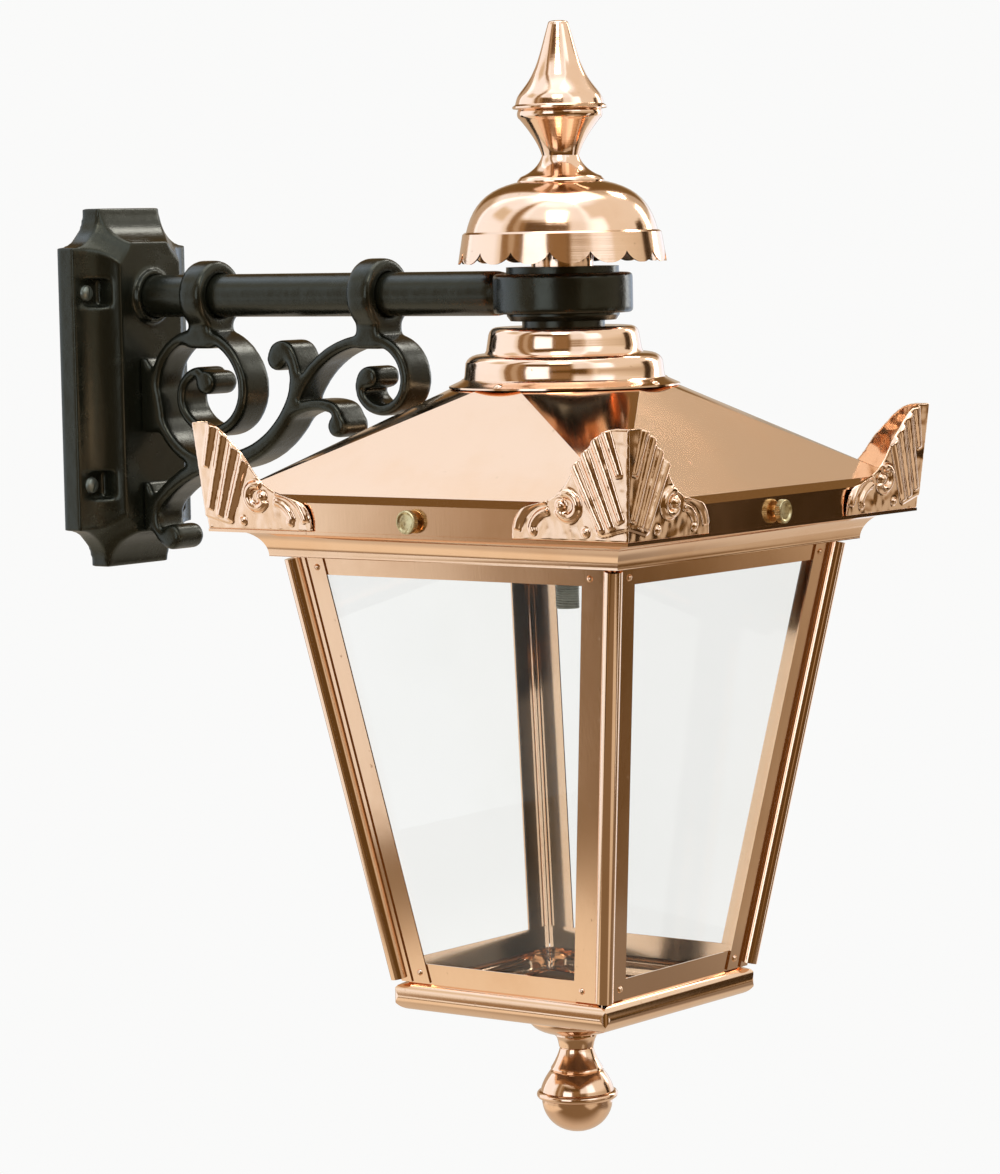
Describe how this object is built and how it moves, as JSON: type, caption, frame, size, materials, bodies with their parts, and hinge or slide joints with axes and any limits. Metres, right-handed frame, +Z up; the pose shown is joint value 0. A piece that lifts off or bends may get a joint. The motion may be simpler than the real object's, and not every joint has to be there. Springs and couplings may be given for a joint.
{
  "type": "wall bracket street lantern",
  "caption": "Square tapered copper street lantern with leaf corners and a vented spire, hung from a black scrolled wall bracket.",
  "frame": {"origin": "centre of the wall plate's back face, in the plane of the wall", "axes": "+Y into the wall, so the lantern hangs out towards -Y; +Z up; +X to the right when facing the wall"},
  "size_m": [0.3762, 0.6101, 0.7835],
  "materials": {
    "copper": "polished copper sheet",
    "bracket_black": "satin black paint on cast iron",
    "threaded_steel": "dull grey-green threaded steel",
    "brass_screw": "knurled brass",
    "glass": "clear flat glass"
  },
  "bodies": {
    "lantern": {"wall_plate": "bracket_black", "bracket_arm": "bracket_black", "scroll_casting": "bracket_black", "upper_washer": "bracket_black", "lower_washer": "bracket_black", "spacer": "bracket_black", "hanging_tube": "threaded_steel", "upper_nut": "threaded_steel", "roof_nut": "threaded_steel", "vent_tube": "copper", "vent_cap": "copper", "cap_flare": "copper", "spire_cup": "copper", "spire": "copper", "stepped_collar": "copper", "collar_rivets": "copper", "roof": "copper", "gallery_band": "copper", "cornice": "copper", "top_rail_front": "copper", "top_rail_right": "copper", "top_rail_back": "copper", "top_rail_left": "copper", "leaf_front_left": "copper", "leaf_front_right": "copper", "leaf_back_right": "copper", "leaf_back_left": "copper", "post_front_left": "copper", "post_front_right": "copper", "post_back_right": "copper", "post_back_left": "copper", "pane_front": "glass", "pane_right": "glass", "pane_back": "glass", "pane_left": "glass", "post_rivets": "copper", "base_rail": "copper", "floor_plate": "copper", "base_dish": "copper", "finial_neck": "copper", "finial_bulb": "copper", "finial_rod": "threaded_steel", "rod_nut": "threaded_steel"},
    "thumb_front": {"thumb_screw_front": "brass_screw"},
    "thumb_right": {"thumb_screw_right": "brass_screw"},
    "thumb_back": {"thumb_screw_back": "brass_screw"},
    "thumb_left": {"thumb_screw_left": "brass_screw"}
  },
  "joints": [
    {"name": "thumb_front_turn", "type": "hinge", "parent": "lantern", "child": "thumb_front", "pos_m": [0, -0.598, -0.07989], "axis": [0, -1, 0], "continuous": true},
    {"name": "thumb_right_turn", "type": "hinge", "parent": "lantern", "child": "thumb_right", "pos_m": [0.176, -0.422, -0.07989], "axis": [1, 0, 0], "continuous": true},
    {"name": "thumb_back_turn", "type": "hinge", "parent": "lantern", "child": "thumb_back", "pos_m": [0, -0.246, -0.07989], "axis": [0, 1, 0], "continuous": true},
    {"name": "thumb_left_turn", "type": "hinge", "parent": "lantern", "child": "thumb_left", "pos_m": [-0.176, -0.422, -0.07989], "axis": [-1, 0, 0], "continuous": true}
  ]
}
